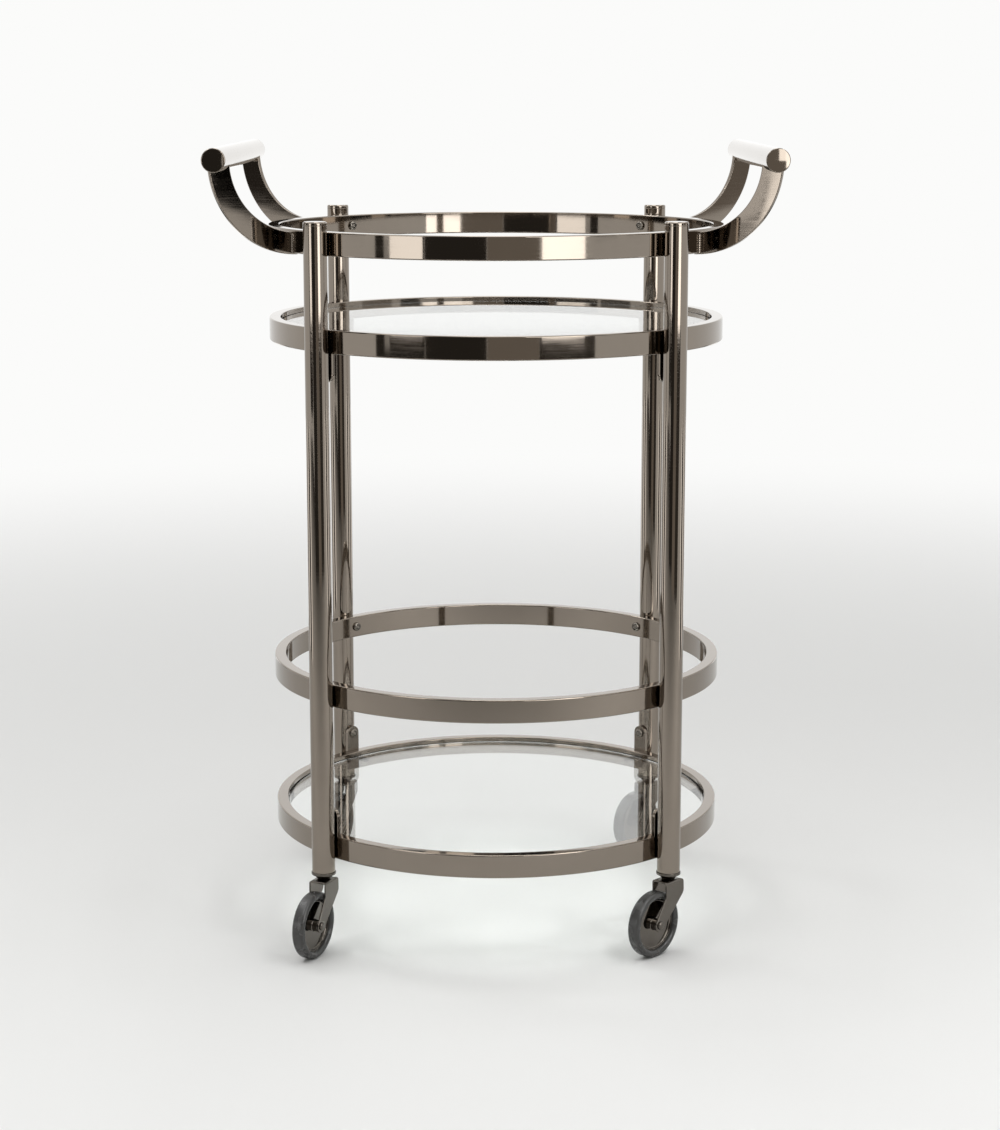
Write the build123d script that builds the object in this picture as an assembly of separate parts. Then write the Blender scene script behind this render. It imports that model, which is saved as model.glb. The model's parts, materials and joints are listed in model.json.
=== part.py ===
from build123d import *
import os
from math import asin, cos, degrees, radians, sin, sqrt

# Round two-tier bar cart. Millimetres, +Z up, +Y to the back, +X to the right.
# The origin is on the floor, under the middle of the rings.

# Stock
TUBE_DIAMETER = 25.4  # posts and handle bars
TUBE_WALL = 1.6
BAND_HEIGHT = 25.4  # rectangular tube of the rings
BAND_DEPTH = 12.7
BAND_WALL = 1.6
BAND_EDGE = 1.4

# Rings and posts
RING_DIAMETER = 510.0
POST_ANGLE = 45.0  # between a post and the X axis
POST_LENGTH = 704.0
BOTTOM_SHELF_RISE = 25.0  # middle of the ring above the posts' feet
LOWER_RAIL_RISE = 196.0
TOP_RAIL_DROP = 20.0  # middle of the ring below the tops of the tubes
UPPER_SHELF_DROP = 122.5
POST_CAP_THICKNESS = 4.0
POST_CAP_EDGE = 2.0

# Shelves
GLASS_THICKNESS = 5.0
GLASS_RECESS = 5.5  # glass below the top of its ring
GLASS_ARRIS = 0.6
PAD_DIAMETER = 10.0
PAD_THICKNESS = 1.5
LUG_WIDTH = 18.0
LUG_REACH = 14.0
LUG_THICKNESS = 2.0
LUG_CORNER = 4.0
TAB_WIDTH = 18.0
TAB_THICKNESS = 4.0
TAB_SCREW_RISE = 22.0  # screw beyond the face of the ring that the tab stands on

# Screws and bushes
SCREW_DIAMETER = 6.0
SCREW_REACH = 10.0  # into the post
HEAD_DIAMETER = 10.5
HEAD_HEIGHT = 3.3
HEAD_ROUND = 2.2
HEX_FLATS = 4.0
HEX_DEPTH = 2.0
BUSH_DIAMETER = 9.0
BUSH_LENGTH = 9.0

# Handles
ARM_WIDTH = 24.0
ARM_THICKNESS = 5.0
ARM_EDGE = 0.9
ARM_BEND_RADIUS = 90.0  # at the middle of the flat
ARM_INSET = 5.5  # centre of the bend inside the rail's outer face
ARM_DROP = 2.0  # foot of the arm below the middle of the rail
BAR_LENGTH = 444.0
BAR_OVERHANG = 47.0  # bar beyond the middle of an arm
BAR_CAP_THICKNESS = 3.0
BAR_CAP_EDGE = 1.2
SPIGOT_LENGTH = 9.0

# Casters
WHEEL_DIAMETER = 73.0
TYRE_WIDTH = 15.0
TYRE_DEPTH = 8.0  # also the diameter of its round sides
RIM_WALL = 1.5
HUB_WEB = 2.5
HUB_BOSS_DIAMETER = 13.0
HUB_BUSH_DIAMETER = 10.0
AXLE_DIAMETER = 6.0
AXLE_HEAD_DIAMETER = 9.0
AXLE_HEAD_HEIGHT = 2.4
AXLE_HEAD_ROUND = 1.8
NUT_FLATS = 10.0
NUT_HEIGHT = 5.0
TRAIL = 25.0  # axle ahead of the stem
FORK_PLATE = 2.0
FORK_BEND = 1.0  # inside radius between crown and legs
CROWN_LENGTH = 30.0
CROWN_CLEARANCE = 7.5  # crown above the tyre
CROWN_CORNER = 5.0
SKIRT_DEPTH = 16.0  # straight sides below the top of the crown
LEG_END_RADIUS = 7.5
LEG_BLEND = 3.0
STEM_DIAMETER = 10.0
STEM_LENGTH = 24.0
COLLAR_HEIGHT = 5.0
COLLAR_DIAMETER = 23.0
COLLAR_FOOT_DIAMETER = 14.0
RIVET_DIAMETER = 15.0
RIVET_HEIGHT = 2.5
FLANGE_DIAMETER = 27.0
FLANGE_HEIGHT = 3.2
FLANGE_EDGE = 0.8
PLUG_LENGTH = 30.0
SWIVEL_ANGLES = {  # trail direction, from straight ahead towards -X
    "front_left": 25.0,
    "front_right": 43.0,
    "rear_left": 25.0,
    "rear_right": 42.0,
}

# Clearances
FIT = 0.02  # pieces fixed in one another, on the radius
RUNNING_FIT = 0.05
SEAM = 0.05  # welded and seated pieces
POST_GAP = 0.1  # post beside its rings
HOLE_CLEARANCE = 0.2
SWIVEL_GAP = 0.3
TYRE_GAP = 1.0
GLASS_GAP = 0.8

# Worked out from the sizes above
ring_radius = RING_DIAMETER / 2
ring_bore = ring_radius - BAND_DEPTH
tube_radius = TUBE_DIAMETER / 2
tube_bore = tube_radius - TUBE_WALL
post_radius = ring_radius + POST_GAP + tube_radius
axle_height = WHEEL_DIAMETER / 2
fork_inside = TYRE_WIDTH + 2 * TYRE_GAP
fork_width = fork_inside + 2 * FORK_PLATE
crown_underside = WHEEL_DIAMETER + CROWN_CLEARANCE
crown_top = crown_underside + FORK_PLATE
collar_foot = crown_top + SWIVEL_GAP
collar_top = collar_foot + COLLAR_HEIGHT
post_foot = collar_top + FLANGE_HEIGHT
post_top = post_foot + POST_LENGTH
top_rail_z = post_top - TOP_RAIL_DROP
upper_shelf_z = post_top - UPPER_SHELF_DROP
lower_rail_z = post_foot + LOWER_RAIL_RISE
bottom_shelf_z = post_foot + BOTTOM_SHELF_RISE
upper_screw_z = upper_shelf_z - BAND_HEIGHT / 2 - TAB_SCREW_RISE
bottom_screw_z = bottom_shelf_z + BAND_HEIGHT / 2 + TAB_SCREW_RISE
bend_centre = ring_radius - ARM_INSET
arm_reach = bend_centre + ARM_BEND_RADIUS
arm_angle = degrees(asin((BAR_LENGTH / 2 - BAR_OVERHANG) / arm_reach))
bar_x = arm_reach * cos(radians(arm_angle))
bar_z = top_rail_z - ARM_DROP + ARM_BEND_RADIUS

POST_ANGLES = {
    "front_left": 180 + POST_ANGLE,
    "front_right": -POST_ANGLE,
    "rear_left": 180 - POST_ANGLE,
    "rear_right": POST_ANGLE,
}
ARM_ANGLES = {
    "left_front": 180 + arm_angle,
    "left_rear": 180 - arm_angle,
    "right_front": -arm_angle,
    "right_rear": arm_angle,
}
BAR_SIDES = {"left": -1, "right": 1}


def polar(angle, radius=0.0, height=0.0):
    """Place with local X pointing outwards at an angle round the cart."""
    return Rot(0, 0, angle) * Pos(radius, 0, height)


def rod(radius, length):
    """Cylinder from the origin along X."""
    return Rot(0, 90, 0) * Cylinder(radius, length, align=(Align.CENTER, Align.CENTER, Align.MIN))


def upright(radius, foot, top):
    """Cylinder on the Z axis between two heights."""
    base = Cylinder(radius, top - foot, align=(Align.CENTER, Align.CENTER, Align.MIN))
    return Pos(0, 0, foot) * base


def group(solids):
    """Several equal pieces in one node."""
    return Compound(children=list(solids))


# Rings
def ring(middle):
    """Rolled rectangular tube, closed on itself."""
    outside = RectangleRounded(BAND_DEPTH, BAND_HEIGHT, BAND_EDGE)
    inside = RectangleRounded(BAND_DEPTH - 2 * BAND_WALL, BAND_HEIGHT - 2 * BAND_WALL, BAND_EDGE / 2)
    section = Pos(ring_radius - BAND_DEPTH / 2, middle) * (outside - inside)
    return revolve(Plane.XZ * section, Axis.Z)


def drilled_ring(middle):
    """Ring with a screw hole through both walls at each post."""
    band = ring(middle)
    for angle in POST_ANGLES.values():
        hole = rod(SCREW_DIAMETER / 2 + HOLE_CLEARANCE, 2 * BAND_DEPTH)
        band -= polar(angle, ring_bore - BAND_DEPTH / 2, middle) * hole
    return band


# Shelves
def shelf_tabs(face, direction):
    """Upright plates with a round end, one at each post, standing up or hanging down."""
    end = Pos(0, direction * TAB_SCREW_RISE) * Circle(TAB_WIDTH / 2)
    stalk = Pos(0, direction * TAB_SCREW_RISE / 2) * Rectangle(TAB_WIDTH, TAB_SCREW_RISE)
    hole = Pos(0, direction * TAB_SCREW_RISE) * Circle(SCREW_DIAMETER / 2 + HOLE_CLEARANCE)
    plate = extrude(Plane.YZ * (end + stalk - hole), -TAB_THICKNESS)
    return group(polar(angle, ring_radius, face) * plate for angle in POST_ANGLES.values())


def glass_top(middle):
    """Height of the upper face of a shelf's glass."""
    return middle + BAND_HEIGHT / 2 - GLASS_RECESS


def glass_shelf(middle):
    """Round pane with ground edges."""
    top = glass_top(middle)
    pane = upright(ring_bore - GLASS_GAP, top - GLASS_THICKNESS, top)
    return chamfer(pane.edges(), GLASS_ARRIS)


def shelf_pads(middle):
    """Soft discs under the glass."""
    top = glass_top(middle) - GLASS_THICKNESS
    pad = upright(PAD_DIAMETER / 2, top - PAD_THICKNESS, top)
    place = ring_bore - LUG_REACH / 2
    return group(polar(angle, place) * pad for angle in POST_ANGLES.values())


def shelf_lugs(middle):
    """Flat lugs on the ring's inner wall that carry the pads."""
    top = glass_top(middle) - GLASS_THICKNESS - PAD_THICKNESS
    reach = Pos(ring_bore, 0) * Rectangle(2 * LUG_REACH, LUG_WIDTH)
    inner_corners = reach.vertices().sort_by(Axis.X)[:2]
    outline = fillet(inner_corners, LUG_CORNER) & Circle(ring_bore - SEAM)
    lug = Pos(0, 0, top) * extrude(outline, -LUG_THICKNESS)
    return group(polar(angle) * lug for angle in POST_ANGLES.values())


# Screws and posts
def button_screw(grip):
    """Socket screw along X, its head behind the origin and its shank ahead of it."""
    head = fillet(rod(HEAD_DIAMETER / 2, HEAD_HEIGHT).edges().sort_by(Axis.X)[0], HEAD_ROUND)
    socket = RegularPolygon(HEX_FLATS / 2, 6, major_radius=False)
    recess = extrude(Plane.YZ * socket, HEX_DEPTH)
    shank = rod(SCREW_DIAMETER / 2, grip + SCREW_REACH)
    return Pos(-HEAD_HEIGHT, 0, 0) * (head - recess) + shank


def rail_screws(middle):
    """Screws from the inner wall of a rail, through it and into the posts."""
    sagitta = ring_bore - sqrt(ring_bore**2 - (HEAD_DIAMETER / 2) ** 2)
    seat = ring_bore - sagitta - SEAM
    screw = button_screw(ring_radius + POST_GAP - seat)
    return group(polar(angle, seat, middle) * screw for angle in POST_ANGLES.values())


def tab_screws(height):
    """Screws through the tabs of a shelf and into the posts."""
    seat = ring_radius - TAB_THICKNESS
    screw = button_screw(TAB_THICKNESS + POST_GAP)
    return group(polar(angle, seat, height) * screw for angle in POST_ANGLES.values())


def screw_heights():
    """Heights of the four screws in each post."""
    return (top_rail_z, upper_screw_z, lower_rail_z, bottom_screw_z)


def post(angle):
    """Round tube from the caster's flange to the cap, with a hole for each bush."""
    tube = upright(tube_radius, post_foot, post_top) - upright(tube_bore, post_foot, post_top)
    hole = rod(BUSH_DIAMETER / 2 + FIT, 2 * tube_radius)
    for height in screw_heights():
        tube -= Pos(-2 * tube_radius, 0, height) * hole
    return polar(angle, post_radius) * tube


def post_bushes():
    """Threaded bushes set flush in the posts."""
    blank = rod(BUSH_DIAMETER / 2, BUSH_LENGTH) - rod(SCREW_DIAMETER / 2 + RUNNING_FIT, BUSH_LENGTH)
    flush = Pos(-tube_radius, 0, 0) * blank & upright(tube_radius, -BUSH_DIAMETER, BUSH_DIAMETER)
    return group(
        polar(angle, post_radius, height) * flush
        for angle in POST_ANGLES.values()
        for height in screw_heights()
    )


def plug_cap(thickness, edge):
    """Cap on a tube's end at the origin, with a spigot in the bore below it."""
    disc = upright(tube_radius, 0, thickness)
    disc = fillet(disc.edges().sort_by(Axis.Z)[-1], edge)
    return disc + upright(tube_bore - SEAM, -SPIGOT_LENGTH, 0)


def post_caps():
    """Caps on the tops of the posts."""
    cap = plug_cap(POST_CAP_THICKNESS, POST_CAP_EDGE)
    return group(polar(angle, post_radius, post_top) * cap for angle in POST_ANGLES.values())


# Handles
def handle_bar(side):
    """Round tube across the two arms of a handle."""
    length = BAR_LENGTH - 2 * BAR_CAP_THICKNESS
    tube = Cylinder(tube_radius, length) - Cylinder(tube_bore, length)
    return Pos(side * bar_x, 0, bar_z) * Rot(90, 0, 0) * tube


def handle_end_caps():
    """Flat caps in the ends of both bars."""
    cap = Pos(0, 0, BAR_LENGTH / 2 - BAR_CAP_THICKNESS) * plug_cap(BAR_CAP_THICKNESS, BAR_CAP_EDGE)
    return group(
        Pos(side * bar_x, 0, bar_z) * Rot(turn, 0, 0) * cap
        for side in BAR_SIDES.values()
        for turn in (90, -90)
    )


def handle_arm(angle):
    """Flat bar bent on edge, coped to the rail at its foot and to the bar at its top."""
    foot = Plane((bend_centre, 0, bar_z - ARM_BEND_RADIUS), x_dir=(0, 1, 0), z_dir=(1, 0, 0))
    section = foot * RectangleRounded(ARM_THICKNESS, ARM_WIDTH, ARM_EDGE)
    bend = revolve(section, Axis((bend_centre, 0, bar_z), (0, -1, 0)), 90)
    rail = upright(ring_radius + SEAM, bar_z - 2 * ARM_BEND_RADIUS, bar_z + ARM_BEND_RADIUS)
    side = 1 if cos(radians(angle)) > 0 else -1
    bar = Pos(side * bar_x, 0, bar_z) * Rot(90, 0, 0) * Cylinder(tube_radius + SEAM, BAR_LENGTH)
    return polar(angle) * bend - rail - bar


# Casters, made with the stem on the Z axis and the wheel trailing towards +X
def caster_sockets():
    """Plugs in the posts' feet, with a flange and a bore for the stem."""
    flange = upright(FLANGE_DIAMETER / 2, collar_top, post_foot)
    flange = fillet(flange.edges(), FLANGE_EDGE)
    plug = upright(tube_bore - SEAM, post_foot, post_foot + PLUG_LENGTH)
    bore = upright(STEM_DIAMETER / 2 + FIT, collar_top, post_foot + PLUG_LENGTH)
    socket = flange + plug - bore
    return group(polar(angle, post_radius) * socket for angle in POST_ANGLES.values())


def caster_stem():
    """Stem in the socket, with its bearing collar and the riveted end that holds the fork."""
    rivet_top = crown_underside - SWIVEL_GAP
    rivet = upright(RIVET_DIAMETER / 2, rivet_top - RIVET_HEIGHT, rivet_top)
    pin = upright(STEM_DIAMETER / 2, rivet_top, collar_top + STEM_LENGTH)
    cone = Cone(COLLAR_FOOT_DIAMETER / 2, COLLAR_DIAMETER / 2, COLLAR_HEIGHT)
    return rivet + pin + Pos(0, 0, (collar_foot + collar_top) / 2) * cone


def fork_profile():
    """Side view of the fork: straight skirt above, slanted leg to the axle below."""
    half = CROWN_LENGTH / 2
    skirt_foot = crown_top - SKIRT_DEPTH
    skirt = Pos(0, crown_top - SKIRT_DEPTH / 2) * Rectangle(CROWN_LENGTH, SKIRT_DEPTH)
    axle_end = Pos(TRAIL, axle_height) * Circle(LEG_END_RADIUS)
    leg = make_hull([*axle_end.edges(), Line((-half, skirt_foot), (half, skirt_foot))])
    profile = skirt + leg
    corners = {
        (-half, skirt_foot): LEG_BLEND,
        (half, skirt_foot): LEG_BLEND,
        (-half, crown_top): CROWN_CORNER,
    }
    for (x, z), radius in corners.items():
        profile = fillet(profile.vertices().sort_by_distance((x, z, 0))[0], radius)
    return profile


def fork_section():
    """Front view of the fork: plate bent down on both sides."""
    outside = Rectangle(fork_width, crown_top, align=(Align.CENTER, Align.MIN))
    inside = Rectangle(fork_inside, crown_underside, align=(Align.CENTER, Align.MIN))
    outside = fillet(outside.vertices().sort_by(Axis.Y)[-2:], FORK_BEND + FORK_PLATE)
    inside = fillet(inside.vertices().sort_by(Axis.Y)[-2:], FORK_BEND)
    return outside - inside


def fork():
    """Pressed fork: flat crown and two legs."""
    reach = 2 * (TRAIL + CROWN_LENGTH)
    bent = extrude(Plane.YZ * fork_section(), reach, both=True)
    plate = bent & extrude(Plane.XZ * fork_profile(), fork_width, both=True)
    plate -= upright(STEM_DIAMETER / 2 + RUNNING_FIT, 0, 2 * crown_top)
    return plate - on_axle(Cylinder(AXLE_DIAMETER / 2 + FIT, 2 * fork_width))


def on_axle(solid):
    """Move a piece made round the Z axis onto the axle."""
    return Pos(TRAIL, 0, axle_height) * Rot(-90, 0, 0) * solid


def axle_bolt():
    """Bolt through the fork, its round head on the +Y side."""
    half = fork_width / 2
    head = upright(AXLE_HEAD_DIAMETER / 2, half, half + AXLE_HEAD_HEIGHT)
    head = fillet(head.edges().sort_by(Axis.Z)[-1], AXLE_HEAD_ROUND)
    return on_axle(head + upright(AXLE_DIAMETER / 2, -half - NUT_HEIGHT, half))


def axle_nut():
    """Hexagon nut on the other end of the bolt."""
    hexagon = RegularPolygon(NUT_FLATS / 2, 6, major_radius=False) - Circle(AXLE_DIAMETER / 2 + FIT)
    return on_axle(Pos(0, 0, -fork_width / 2) * extrude(hexagon, -NUT_HEIGHT))


def wheel_hub():
    """Thin polished web between the rim and a boss at the axle."""
    radius = axle_height - TYRE_DEPTH - FIT
    rim_width = TYRE_WIDTH - TYRE_DEPTH
    rim = Cylinder(radius, rim_width) - Cylinder(radius - RIM_WALL, rim_width)
    boss = Cylinder(HUB_BOSS_DIAMETER / 2, fork_inside - 2 * SWIVEL_GAP)
    solid = rim + Cylinder(radius, HUB_WEB) + boss
    return on_axle(solid - Cylinder(HUB_BUSH_DIAMETER / 2 + FIT, fork_inside))


def wheel_bush():
    """Plain bush that the hub turns on."""
    length = fork_inside - 2 * SWIVEL_GAP
    bore = Cylinder(AXLE_DIAMETER / 2 + RUNNING_FIT, length)
    return on_axle(Cylinder(HUB_BUSH_DIAMETER / 2, length) - bore)


def tyre():
    """Solid tyre with round sides."""
    section = Pos(axle_height - TYRE_DEPTH / 2, 0) * SlotOverall(TYRE_WIDTH, TYRE_DEPTH, rotation=90)
    return on_axle(revolve(Plane.XZ * section, Axis.Z))


def caster_nodes():
    """Pieces of the four casters, each at its post and its trail direction."""
    pieces = {
        "stem": caster_stem(),
        "fork": fork(),
        "axle_bolt": axle_bolt(),
        "axle_nut": axle_nut(),
        "hub": wheel_hub(),
        "hub_bush": wheel_bush(),
        "tyre": tyre(),
    }
    nodes = {}
    for corner, angle in POST_ANGLES.items():
        x = post_radius * cos(radians(angle))
        y = post_radius * sin(radians(angle))
        place = Pos(x, y, 0) * Rot(0, 0, -90 - SWIVEL_ANGLES[corner])
        for name, piece in pieces.items():
            nodes[f"{corner}_{name}"] = place * piece
    return nodes


def cart_nodes():
    """Every node of the cart by name."""
    nodes = {
        "top_rail": drilled_ring(top_rail_z),
        "upper_shelf_ring": ring(upper_shelf_z),
        "lower_rail": drilled_ring(lower_rail_z),
        "bottom_shelf_ring": ring(bottom_shelf_z),
        "upper_shelf_tabs": shelf_tabs(upper_shelf_z - BAND_HEIGHT / 2, -1),
        "bottom_shelf_tabs": shelf_tabs(bottom_shelf_z + BAND_HEIGHT / 2, 1),
        "upper_shelf_lugs": shelf_lugs(upper_shelf_z),
        "bottom_shelf_lugs": shelf_lugs(bottom_shelf_z),
        "upper_shelf_pads": shelf_pads(upper_shelf_z),
        "bottom_shelf_pads": shelf_pads(bottom_shelf_z),
        "upper_glass": glass_shelf(upper_shelf_z),
        "bottom_glass": glass_shelf(bottom_shelf_z),
        "top_rail_screws": rail_screws(top_rail_z),
        "upper_shelf_screws": tab_screws(upper_screw_z),
        "lower_rail_screws": rail_screws(lower_rail_z),
        "bottom_shelf_screws": tab_screws(bottom_screw_z),
        "post_bushes": post_bushes(),
        "post_caps": post_caps(),
        "handle_end_caps": handle_end_caps(),
        "caster_sockets": caster_sockets(),
    }
    for corner, angle in POST_ANGLES.items():
        nodes[f"{corner}_post"] = post(angle)
    for name, angle in ARM_ANGLES.items():
        nodes[f"{name}_arm"] = handle_arm(angle)
    for name, side in BAR_SIDES.items():
        nodes[f"{name}_handle_bar"] = handle_bar(side)
    nodes.update(caster_nodes())
    return nodes


os.makedirs("parts", exist_ok=True)
for node_name, shape in cart_nodes().items():
    export_step(shape, f"parts/{node_name}.step")
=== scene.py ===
"""Round two-tier bar cart in polished nickel, with clear glass shelves and four swivel casters.

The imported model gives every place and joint. The pieces that show are modelled again here with
rounded edges and smooth faces, and each rides on the body of the node that it stands for.
"""
import json
import logging
import math
from dataclasses import dataclass
from enum import Enum
from typing import Any, Iterable, Sequence

import bmesh
import bpy
from mathutils import Matrix, Vector

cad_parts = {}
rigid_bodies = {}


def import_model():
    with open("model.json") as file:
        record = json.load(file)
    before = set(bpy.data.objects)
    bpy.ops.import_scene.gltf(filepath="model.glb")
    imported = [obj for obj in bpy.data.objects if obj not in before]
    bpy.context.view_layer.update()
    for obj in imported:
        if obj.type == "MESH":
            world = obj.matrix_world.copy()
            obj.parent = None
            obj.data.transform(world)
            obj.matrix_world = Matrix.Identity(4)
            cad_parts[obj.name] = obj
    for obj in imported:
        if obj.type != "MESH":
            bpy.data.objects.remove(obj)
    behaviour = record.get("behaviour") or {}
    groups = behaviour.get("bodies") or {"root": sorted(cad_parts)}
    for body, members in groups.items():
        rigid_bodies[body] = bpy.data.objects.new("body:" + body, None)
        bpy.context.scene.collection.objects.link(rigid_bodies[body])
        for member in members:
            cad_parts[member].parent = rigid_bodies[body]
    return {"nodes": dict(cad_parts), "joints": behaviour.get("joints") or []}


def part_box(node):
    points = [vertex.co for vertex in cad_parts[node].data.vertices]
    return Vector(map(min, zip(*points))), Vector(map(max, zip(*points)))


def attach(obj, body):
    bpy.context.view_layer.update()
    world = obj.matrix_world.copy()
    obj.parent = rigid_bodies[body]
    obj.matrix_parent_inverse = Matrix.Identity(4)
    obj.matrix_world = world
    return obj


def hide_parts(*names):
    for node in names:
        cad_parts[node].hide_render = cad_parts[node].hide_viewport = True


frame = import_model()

Mesh = bmesh.types.BMesh
Material = bpy.types.Material
Tree = bpy.types.NodeTree
Socket = bpy.types.NodeSocket

LOG = logging.getLogger("bar_cart")
MM = 0.001
FULL_TURN = 2 * math.pi
QUARTER_TURN = math.pi / 2
DIAGONAL = math.sqrt(2)
HEX_SIDES = 6
SAME_POINT = 1e-6
# A full round stops this short of its middle, in millimetres, so that two of them never meet.
SHORT_OF_FULL = 0.01
# Spans of the noise patterns that go from the smoothest to the roughest finish.
WEAR_SPAN = (0.12, 0.45)
FILM_SPAN = (0.4, 0.8)
CLOUD_SPAN = (0.3, 0.7)
FRAME_BODY = "cart_frame"


class Slot(Enum):
    """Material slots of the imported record."""

    NICKEL = "polished_nickel"
    GLASS = "clear_glass"
    SILICONE = "clear_silicone"
    SCREW = "dark_steel"
    ZINC = "zinc_steel"
    CHROME = "chromed_steel"
    NYLON = "nylon"
    RUBBER = "grey_rubber"


class Labelled(Enum):
    """Place on the cart that names of nodes start with."""

    @property
    def label(self) -> str:
        """Name of the place as the nodes spell it."""
        return self.name.lower()


class Corner(Labelled):
    """The four posts, with the signs of their places along X and Y."""

    FRONT_LEFT = (-1, -1)
    FRONT_RIGHT = (1, -1)
    REAR_LEFT = (-1, 1)
    REAR_RIGHT = (1, 1)

    @property
    def angle(self) -> float:
        """Angle of the post round the cart, from +X."""
        return math.atan2(self.value[1], self.value[0])


class Side(Labelled):
    """The two handles, with the sign of their place along X."""

    LEFT = -1
    RIGHT = 1


# Colours and nodes
def linear(code: str) -> tuple[float, float, float, float]:
    """Turn an sRGB hex colour into linear light.

    Args:
        code: colour as "#RRGGBB".

    Returns:
        Red, green, blue and an alpha of 1.
    """
    levels = [int(code[i : i + 2], 16) / 255 for i in (1, 3, 5)]
    red, green, blue = (v / 12.92 if v <= 0.04045 else ((v + 0.055) / 1.055) ** 2.4 for v in levels)
    return red, green, blue, 1.0


def per_mm(size: float) -> float:
    """Texture scale, in repeats per metre, of a pattern with this size in millimetres."""
    return 1 / (size * MM)


def add_node(
    tree: Tree, kind: str, inputs: dict[str, Any] | Sequence[Any] = (), **settings: Any
) -> bpy.types.Node:
    """Add a shader node with its settings, values and links.

    Args:
        tree: tree that gets the node.
        kind: type of the node, without its prefix.
        inputs: values, or outputs that feed them, by socket name or else in the order of the sockets.
        **settings: properties of the node.

    Returns:
        The node.
    """
    made = tree.nodes.new(f"ShaderNode{kind}")
    for name, value in settings.items():
        setattr(made, name, value)
    pairs = inputs.items() if isinstance(inputs, dict) else enumerate(inputs)
    for key, value in pairs:
        if isinstance(value, Socket):
            tree.links.new(value, made.inputs[key])
        else:
            made.inputs[key].default_value = value
    return made


def new_material(name: str) -> tuple[Material, Tree]:
    """Make an empty node material.

    Args:
        name: name of the material.

    Returns:
        The material and its cleared node tree.
    """
    material = bpy.data.materials.new(name)
    material.use_nodes = True
    material.node_tree.nodes.clear()
    return material, material.node_tree


# Finishes
@dataclass(frozen=True)
class MetalFinish:
    """Bare or plated metal: a mirror with hazy patches, buffing lines and a slight ripple.

    Real buffing lines lie some hundredths of a millimetre apart. They are drawn coarser here, at
    line_spacing, because a picture can't hold them.
    """

    slot: Slot
    colour: str
    shade: str
    clear_roughness: float
    hazy_roughness: float
    haze_size: float
    line_length: float
    line_spacing: float
    ripple_size: float
    ripple_depth: float

    def material(self) -> Material:
        """Build the metal.

        Returns:
            The material.
        """
        material, tree = new_material(self.slot.value)
        place = add_node(tree, "TexCoord").outputs["Object"]
        patches = {"Vector": place, "Scale": per_mm(self.haze_size), "Detail": 4.0, "Roughness": 0.6}
        haze = add_node(tree, "TexNoise", patches).outputs["Fac"]
        tint = {"Factor": haze, "A": linear(self.colour), "B": linear(self.shade)}
        along, across = per_mm(self.line_length), per_mm(self.line_spacing)
        stretch = {"Vector": place, "Scale": (along, along, across)}
        stretched = add_node(tree, "Mapping", stretch).outputs["Vector"]
        strokes = {"Vector": stretched, "Scale": 1.0, "Detail": 2.0}
        lines = add_node(tree, "TexNoise", strokes).outputs["Fac"]
        wear = add_node(tree, "Math", (haze, lines), operation="MULTIPLY").outputs["Value"]
        gloss = (wear, *WEAR_SPAN, self.clear_roughness, self.hazy_roughness)
        waves = {"Vector": place, "Scale": per_mm(self.ripple_size), "Detail": 1.0}
        ripple = add_node(tree, "TexNoise", waves).outputs["Fac"]
        relief = {"Height": ripple, "Strength": 1.0, "Distance": self.ripple_depth * MM}
        look = {
            "Base Color": add_node(tree, "Mix", tint, data_type="RGBA").outputs["Result"],
            "Metallic": 1.0,
            "Roughness": add_node(tree, "MapRange", gloss).outputs["Result"],
            "Normal": add_node(tree, "Bump", relief).outputs["Normal"],
        }
        shader = add_node(tree, "BsdfPrincipled", look)
        add_node(tree, "OutputMaterial", {"Surface": shader.outputs["BSDF"]})
        return material


@dataclass(frozen=True)
class GlassFinish:
    """Float glass or clear moulding: see-through, with a faint film that softens the gloss.

    Light from the lamps passes straight through, so what stands under it is lit.
    """

    slot: Slot
    colour: str
    ior: float
    clear_roughness: float
    film_roughness: float
    film_size: float

    def material(self) -> Material:
        """Build the see-through material.

        Returns:
            The material.
        """
        material, tree = new_material(self.slot.value)
        place = add_node(tree, "TexCoord").outputs["Object"]
        smears = {"Vector": place, "Scale": per_mm(self.film_size), "Detail": 3.0}
        film = add_node(tree, "TexNoise", smears).outputs["Fac"]
        gloss = (film, *FILM_SPAN, self.clear_roughness, self.film_roughness)
        look = {
            "Base Color": linear(self.colour),
            "Roughness": add_node(tree, "MapRange", gloss).outputs["Result"],
            "IOR": self.ior,
            "Transmission Weight": 1.0,
        }
        glass = add_node(tree, "BsdfPrincipled", look).outputs["BSDF"]
        clear = add_node(tree, "BsdfTransparent", {"Color": linear(self.colour)}).outputs["BSDF"]
        from_lamp = add_node(tree, "LightPath").outputs["Is Shadow Ray"]
        passed = add_node(tree, "MixShader", (from_lamp, glass, clear))
        add_node(tree, "OutputMaterial", {"Surface": passed.outputs["Shader"]})
        return material


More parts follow.
